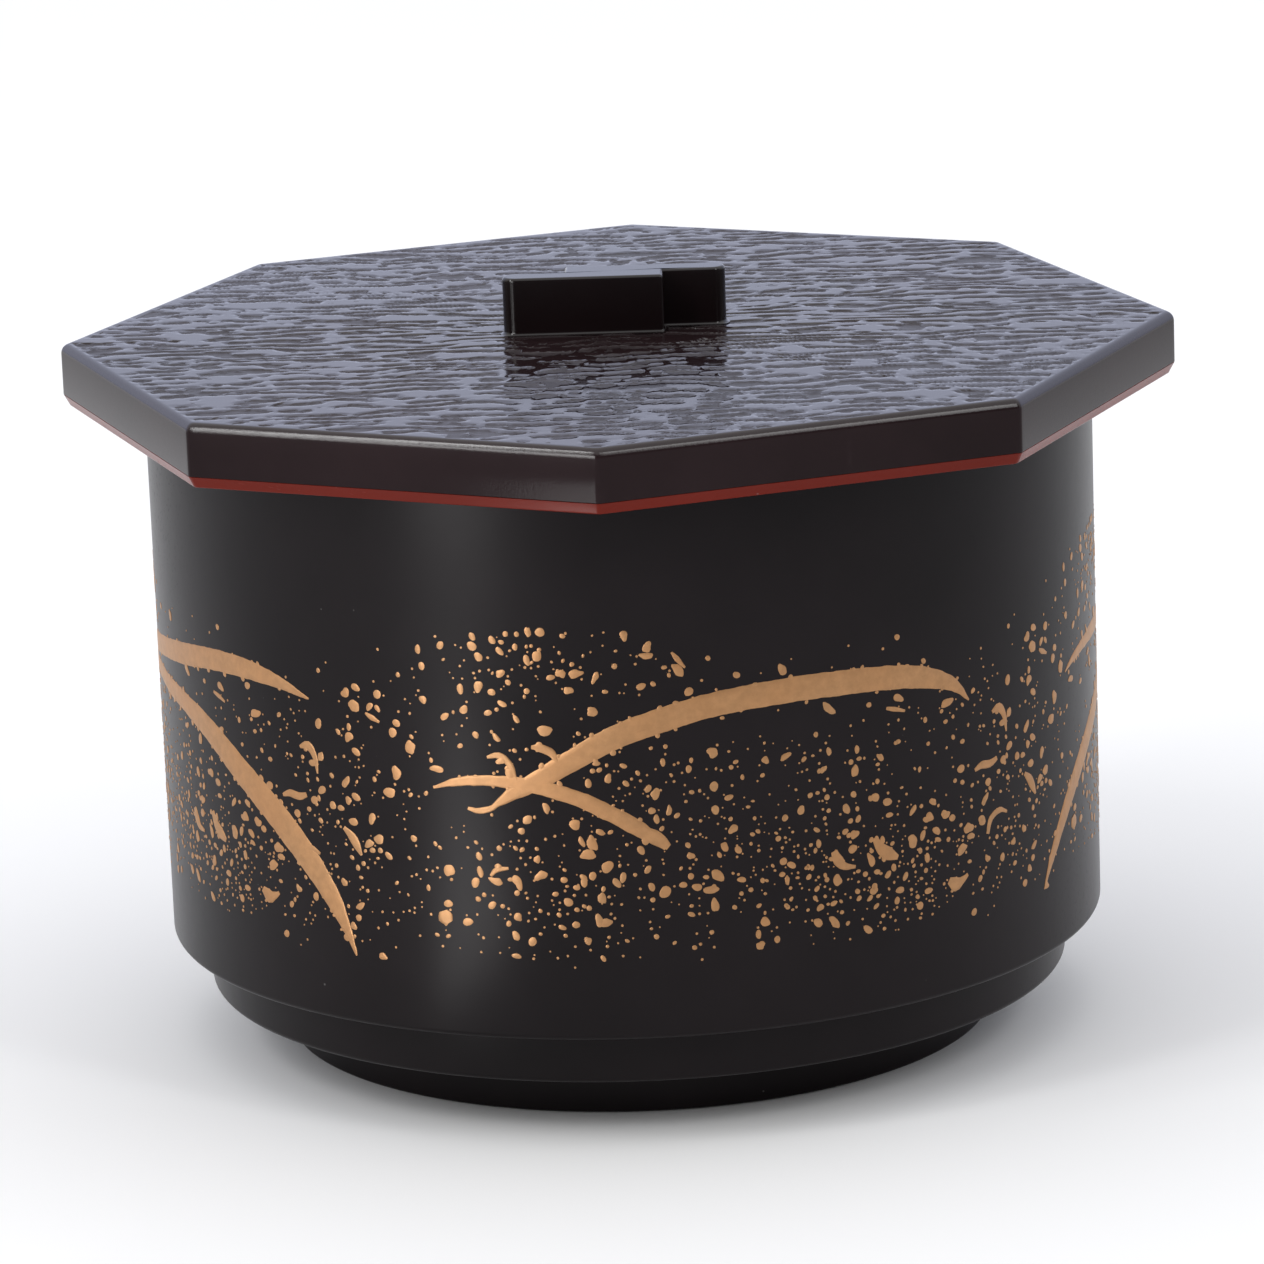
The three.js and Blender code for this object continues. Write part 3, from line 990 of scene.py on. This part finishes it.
class RICEBOWL_OT_liner(bpy.types.Operator):
    """Build the lid's liner, with the coloured band and the locating ring"""

    bl_idname = "ricebowl.liner"
    bl_label = "Lid liner"

    def execute(self, context):
        s = lid_sizes()
        band_top = CAP_LOW.z
        low = band_top - s.band_height
        ceiling_top = LINER_HIGH.z
        ceiling = ceiling_top - s.ceiling
        ring_low = LINER_LOW.z
        along_flat, round_corner = 24, 6
        outside = s.corner - (s.skirt_wall + s.liner_gap) / EIGHTH
        inside = outside - s.liner_wall / EIGHTH

        def octagon(corner, z, rounding=s.corner_rounding):
            return at_height(octagon_outline(corner, rounding, along_flat, round_corner), z)

        pattern = octagon_outline(1.0, 0.1, along_flat, round_corner)
        angles = np.unwrap(np.arctan2(pattern[:, 1], pattern[:, 0]))

        def ring(radius, z):
            return circle_loop(radius, z, angles)

        ring_in, ring_out, soft = s.ring_radius - s.ring_wall, s.ring_radius, 0.5 * MM
        fillet = 1.2 * MM
        lip, inner_rounding = 0.35 * MM, 1.5 * MM
        loops = [ring(10 * MM, ceiling), ring(40 * MM, ceiling)]
        loops += [ring(r, z) for r, z in arc(ring_in - fillet, ceiling - fillet, fillet, 90, 0, 5)]
        loops += [ring(r, z) for r, z in arc(ring_in + soft, ring_low + soft, soft, 180, 270, 4)]
        loops += [ring(r, z) for r, z in arc(ring_out - soft, ring_low + soft, soft, 270, 360, 4)]
        loops += [ring(r, z) for r, z in arc(ring_out + soft, ceiling - soft, soft, 180, 90, 4)]
        loops += [octagon(r, z, inner_rounding) for r, z in
                  [*arc(inside - fillet, ceiling - fillet, fillet, 90, 0, 5),
                   *arc(inside + lip, low + lip, lip, 180, 270, 3)]]
        foot = s.corner - s.band_inset
        loops += [octagon(r, z) for r, z in arc(foot - lip, low + lip, lip, 270, 350, 4)]
        loops += [octagon(s.corner - 0.05 * MM, band_top - 0.05 * MM),
                  octagon(s.corner - 0.15 * MM, band_top),
                  octagon(outside, band_top), octagon(outside, ceiling_top),
                  octagon(outside * 0.5, ceiling_top)]
        piece = loft("lid_liner_shell", loops, [finish("gloss_vermilion", vermilion_lacquer)])
        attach(piece, "lid")
        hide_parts("lid_liner")
        return {"FINISHED"}


def knob_outline(half_length, overlap, depth, inset):
    """Two bars side by side, each slid along past the other, seen from above and shrunk
    by inset all round."""
    half = []
    steps = 8
    end_rounding, step_rounding = 2.1 * MM, 0.55 * MM
    half_length, overlap, depth = half_length - inset, overlap - inset, depth - inset
    outer, inner = max(end_rounding - inset, 0.2 * MM), max(step_rounding - inset, 0.1 * MM)

    def corner(x, y, radius, start):
        for a in np.linspace(start, start + math.pi / 2, steps + 1):
            half.append((x + radius * math.cos(a), y + radius * math.sin(a)))

    corner(-(half_length - outer), -(depth - outer), outer, math.pi)
    corner(overlap - inner, -(depth - inner), inner, 1.5 * math.pi)
    half.append((overlap, inset))
    corner(half_length - outer, inset + outer, outer, 1.5 * math.pi)
    half = np.array(half)
    return np.concatenate([half, -half])


class RICEBOWL_OT_knob(bpy.types.Operator):
    """Build the knob of two offset bars"""

    bl_idname = "ricebowl.knob"
    bl_label = "Lid knob"

    def execute(self, context):
        s = lid_sizes()
        sizes = KNOB_HIGH.x, s.knob_overlap, KNOB_HIGH.y
        outline = knob_outline(*sizes, 0.0)
        lid_top, top = CAP_HIGH.z, KNOB_HIGH.z
        flare, edge = 0.5 * MM, s.knob_edge
        loops = [at_height(offset_outline(outline, flare), lid_top - 1.5 * s.grain_depth)]
        for a in np.radians(np.linspace(0, 90, 7)):
            loops.append(at_height(offset_outline(outline, flare * (1 - math.sin(a))),
                                   lid_top + flare * (1 - math.cos(a))))
        for a in np.radians(np.linspace(0, 90, 13)):
            loops.append(at_height(knob_outline(*sizes, edge * (1 - math.cos(a))),
                                   top - edge * (1 - math.sin(a))))
        loops.append(at_height(knob_outline(*sizes, 1.3 * edge), top))
        piece = loft("lid_knob_bars", loops, [finish("polished_brown_black", knob_lacquer)],
                     crease=40.0)
        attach(piece, "lid")
        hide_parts("lid_knob")
        return {"FINISHED"}


# ---- Stage -----------------------------------------------------------------------------------

# Name, foot, head and width in metres, power in watts, whether it shows as sheen only.
LIGHTS = (
    ("key_strip", (-2.15, -2.08, 0.26), (-1.55, -0.63, 2.55), 0.14, 26.0, False),
    ("fill_strip", (1.9, -1.75, 0.9), (1.5, -1.1, 2.3), 0.40, 10.0, False),
    ("low_strip", (-0.43, -0.60, 0.04), (-0.41, -0.58, 0.35), 0.20, 2.7, True),
    ("table_strip", (-0.060, -0.101, 0.002), (-0.185, -0.238, 0.002), 0.055, 0.23, True),
)
LIGHTS_AIM = (0.0, 0.0, 0.06)


def area_light(name, foot, head, width, power, sheen_only):
    """A strip of soft light that runs from foot to head and faces the bowl. With sheen_only
    it shows in glossy surfaces and adds nothing to matt ones."""
    foot, head, aim = Vector(foot), Vector(head), Vector(LIGHTS_AIM)
    middle = (foot + head) / 2
    data = bpy.data.lights.new(name, "AREA")
    data.shape = "RECTANGLE"
    data.size, data.size_y = width, (head - foot).length
    data.energy = power
    lamp = bpy.data.objects.new(name, data)
    across = (head - foot).cross(middle - aim).normalized()
    along = (head - foot).normalized()
    lamp.matrix_world = (Matrix.Translation(middle)
                         @ Matrix((across, along, across.cross(along))).transposed().to_4x4())
    lamp.visible_camera = False
    lamp.visible_diffuse = not sheen_only
    bpy.context.scene.collection.objects.link(lamp)


class RICEBOWL_OT_stage(bpy.types.Operator):
    """Set the camera, the pale floor and the soft studio light"""

    bl_idname = "ricebowl.stage"
    bl_label = "Stage"

    def camera(self):
        """The camera, turned about a point on the bowl."""
        s = stage_settings()
        a, e, r = s.azimuth, s.elevation, s.roll
        back = Vector((math.sin(a) * math.cos(e), -math.cos(a) * math.cos(e), math.sin(e)))
        right = Vector((math.cos(a), math.sin(a), 0.0))
        up = back.cross(right)
        data = bpy.data.cameras.new("camera")
        data.lens = s.lens
        data.sensor_width = 36.0
        data.clip_start, data.clip_end = 0.05, 20.0
        camera = bpy.data.objects.new("camera", data)
        bpy.context.scene.collection.objects.link(camera)
        x_axis = right * math.cos(r) + up * math.sin(r)
        y_axis = up * math.cos(r) - right * math.sin(r)
        turn = Matrix((x_axis, y_axis, back)).transposed().to_4x4()
        place = Vector((0, 0, s.aim_height)) + back * s.distance + right * s.aim_side
        camera.matrix_world = Matrix.Translation(place) @ turn
        bpy.context.scene.camera = camera

    def floor(self):
        """A wide floor, a hair below the foot."""
        half, steps, sunk = 4.0, 16, 0.2 * MM
        line = np.linspace(-half, half, steps + 1)
        vertices = [(x, y, -sunk) for y in line for x in line]
        faces = [(r * (steps + 1) + c, r * (steps + 1) + c + 1,
                  (r + 1) * (steps + 1) + c + 1, (r + 1) * (steps + 1) + c)
                 for r in range(steps) for c in range(steps)]
        piece = finished_mesh("studio_floor", vertices, faces,
                              [finish("studio_floor_paint", studio_floor_paint)])

    def world(self):
        """Pale surroundings: bluish low behind the bowl, dark low in front of it."""
        world = bpy.data.worlds.new("studio")
        world.use_nodes = True
        tree = world.node_tree
        background = tree.nodes["Background"]
        way = add_node(tree, "ShaderNodeSeparateXYZ",
                       Vector=tree.nodes.new("ShaderNodeTexCoord").outputs["Generated"])
        low = remap(tree, way.outputs["Z"], 0.45, 0.75, 1.0, 0.0)
        behind = math_node(tree, "MULTIPLY", low, remap(tree, way.outputs["Y"], 0.1, 0.4, 0.0, 1.0))
        front = math_node(tree, "MULTIPLY", low,
                          remap(tree, way.outputs["Y"], -0.5, -0.1, 1.0, 0.0))
        pale = blend_colour(tree, behind, (1.0, 1.0, 1.0), (0.74, 0.79, 1.0))
        tree.links.new(blend_colour(tree, front, pale, (0.10, 0.10, 0.10)),
                       background.inputs["Color"])
        background.inputs["Strength"].default_value = 1.10
        bpy.context.scene.world = world

    def execute(self, context):
        self.camera()
        self.floor()
        self.world()
        for light in LIGHTS:
            area_light(*light)
        context.scene.view_settings.view_transform = "Standard"
        context.scene.view_settings.look = "None"
        return {"FINISHED"}


# ---- Panel and registration ------------------------------------------------------------------

OPERATORS = (
    RICEBOWL_OT_stage, RICEBOWL_OT_bowl, RICEBOWL_OT_blades, RICEBOWL_OT_splashes,
    RICEBOWL_OT_cap, RICEBOWL_OT_liner, RICEBOWL_OT_knob,
)
SETTINGS = (
    ("rice_bowl_sizes", RiceBowlSizes), ("rice_bowl_lid_sizes", RiceBowlLidSizes),
    ("rice_bowl_colours", RiceBowlColours), ("rice_bowl_stage", RiceBowlStage),
)


class RICEBOWL_PT_panel(bpy.types.Panel):
    """Buttons for the pieces and fields for their sizes"""

    bl_idname = "RICEBOWL_PT_panel"
    bl_label = "Rice Bowl"
    bl_space_type = "VIEW_3D"
    bl_region_type = "UI"
    bl_category = "Rice Bowl"

    def draw(self, context):
        for operator in OPERATORS:
            self.layout.operator(operator.bl_idname)
        for attribute, group in SETTINGS:
            box = self.layout.box()
            for name in group.__annotations__:
                box.prop(getattr(context.scene, attribute), name)


CLASSES = tuple(group for _, group in SETTINGS) + OPERATORS + (RICEBOWL_PT_panel,)


def register():
    for cls in CLASSES:
        bpy.utils.register_class(cls)
    for attribute, group in SETTINGS:
        setattr(bpy.types.Scene, attribute, bpy.props.PointerProperty(type=group))


def unregister():
    for attribute, _ in SETTINGS:
        delattr(bpy.types.Scene, attribute)
    for cls in reversed(CLASSES):
        bpy.utils.unregister_class(cls)


def main():
    register()
    for operator in OPERATORS:
        section, action = operator.bl_idname.split(".")
        getattr(getattr(bpy.ops, section), action)()


if __name__ == "__main__":
    main()
